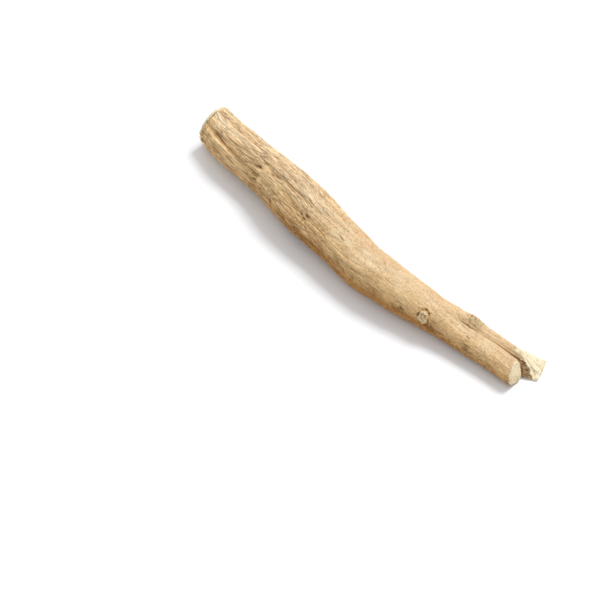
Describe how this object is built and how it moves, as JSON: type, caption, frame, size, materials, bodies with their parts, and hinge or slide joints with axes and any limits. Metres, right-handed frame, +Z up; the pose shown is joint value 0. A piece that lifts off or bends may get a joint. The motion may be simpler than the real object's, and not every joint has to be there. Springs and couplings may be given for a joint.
{
  "type": "ashwagandha root",
  "caption": "Dried whole root: a furrowed, slightly bent woody stick with a cut head, a cut tip and a short side root split at its end.",
  "frame": {"origin": "centre of the bounding box in X and Y, on the surface that the root lies on", "axes": "+X along the root from its cut head to its tip, +Y to the side that the side root grows from, +Z up"},
  "size_m": [0.1438, 0.026, 0.0166],
  "materials": {
    "root_bark": "dry matt buff-brown bark, with pale cream wood on the cut and split ends"
  },
  "bodies": {
    "root": {"ashwagandha_root": "root_bark"}
  },
  "joints": []
}
